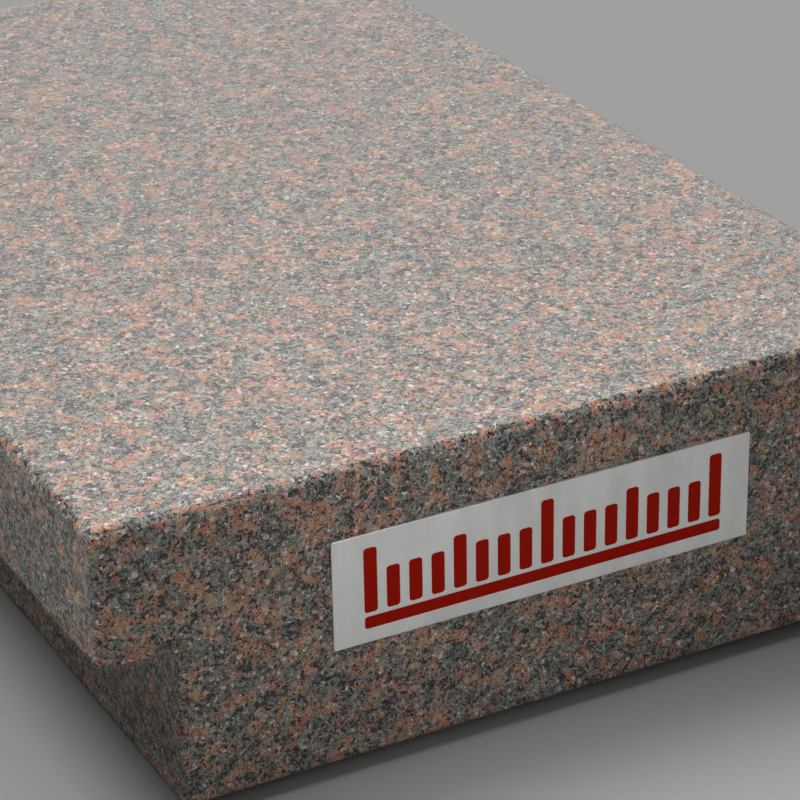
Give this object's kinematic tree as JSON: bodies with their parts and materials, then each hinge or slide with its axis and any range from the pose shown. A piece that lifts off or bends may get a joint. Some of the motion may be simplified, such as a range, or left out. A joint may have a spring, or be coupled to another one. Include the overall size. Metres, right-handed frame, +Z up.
{
  "type": "surface plate",
  "caption": "Pink-grey granite surface plate with a flat lapped top, a clamping ledge along each long side, a nameplate on one end and rubber support pads underneath.",
  "frame": {"origin": "middle of the footprint, on the plane that the support pads rest on", "axes": "+X runs left to right along the end that carries the nameplate, +Y from that end to the far end, +Z up"},
  "size_m": [0.3048, 0.458, 0.108],
  "materials": {
    "granite": "fine pink and grey granite, lapped satin top, ground sides, sawn underside",
    "nameplate_metal": "satin sheet",
    "pad_rubber": "matt black"
  },
  "bodies": {
    "root": {"granite_plate": "granite", "nameplate": "nameplate_metal", "support_pad_front_left": "pad_rubber", "support_pad_front_right": "pad_rubber", "support_pad_rear": "pad_rubber"}
  },
  "joints": []
}
